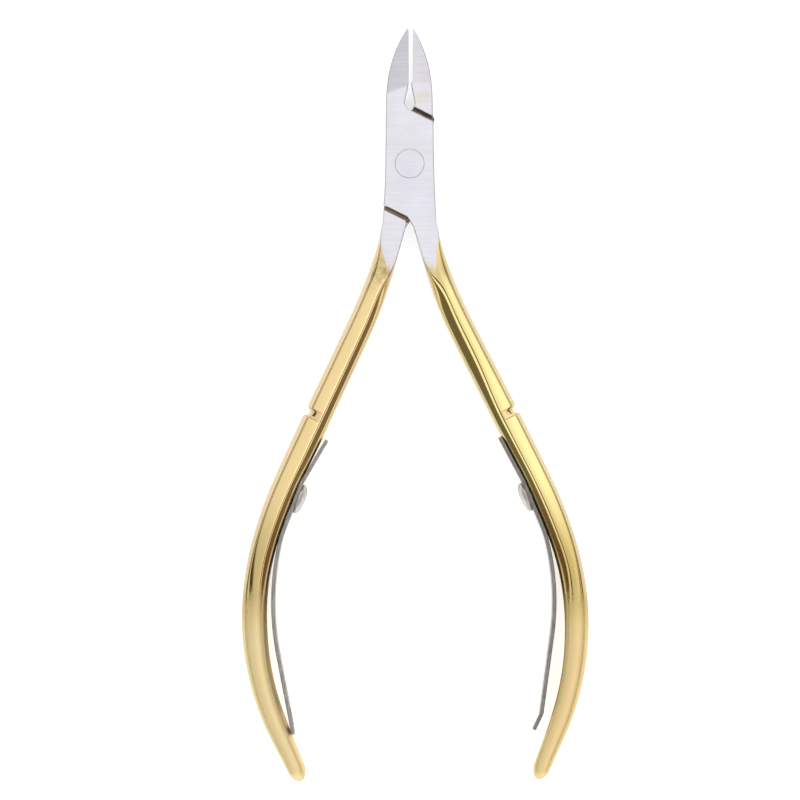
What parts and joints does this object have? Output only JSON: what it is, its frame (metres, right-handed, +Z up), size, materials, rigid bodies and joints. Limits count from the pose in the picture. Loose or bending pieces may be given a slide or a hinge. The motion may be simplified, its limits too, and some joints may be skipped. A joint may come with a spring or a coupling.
{
  "type": "cuticle nipper",
  "caption": "Lap-jointed cuticle nipper with tapered cutting jaws, curved plated handles and a screwed-on leaf spring inside each handle, unhooked.",
  "frame": {"origin": "on the rivet's axis, at the back face of the joint that the nipper lies on", "axes": "+Y towards the jaw tips, +X towards the right handle, +Z up from the back face to the front face"},
  "size_m": [0.0486, 0.1052, 0.0052],
  "materials": {
    "half": "forged stainless steel: cross-ground bare jaws and joint, gold-plated and polished handles",
    "rivet": "ground flush with the joint",
    "leaf_spring": "satin spring steel",
    "spring_screw": "bright turned steel"
  },
  "bodies": {
    "rear": {"rear_half": "half", "joint_rivet": "rivet", "left_spring_root": "leaf_spring", "left_spring_screw": "spring_screw"},
    "front": {"front_half": "half", "right_spring_root": "leaf_spring", "right_spring_screw": "spring_screw"},
    "left_blade": {"left_spring_blade": "leaf_spring"},
    "right_blade": {"right_spring_blade": "leaf_spring"}
  },
  "joints": [
    {"name": "jaw_pivot", "type": "hinge", "parent": "rear", "child": "front", "pos_m": [0, 0, 0.0026], "axis": [0, 0, 1], "range_deg": [-1.6, 25]},
    {"name": "left_spring_flex", "type": "hinge", "parent": "rear", "child": "left_blade", "pos_m": [-0.01796, -0.05221, 0.0026], "axis": [0, 0, 1], "range_deg": [0, 29], "stiffness_Nm_per_rad": 0.5},
    {"name": "right_spring_flex", "type": "hinge", "parent": "front", "child": "right_blade", "pos_m": [0.01898, -0.05182, 0.0026], "axis": [0, 0, -1], "range_deg": [-2, 29], "stiffness_Nm_per_rad": 0.5}
  ]
}
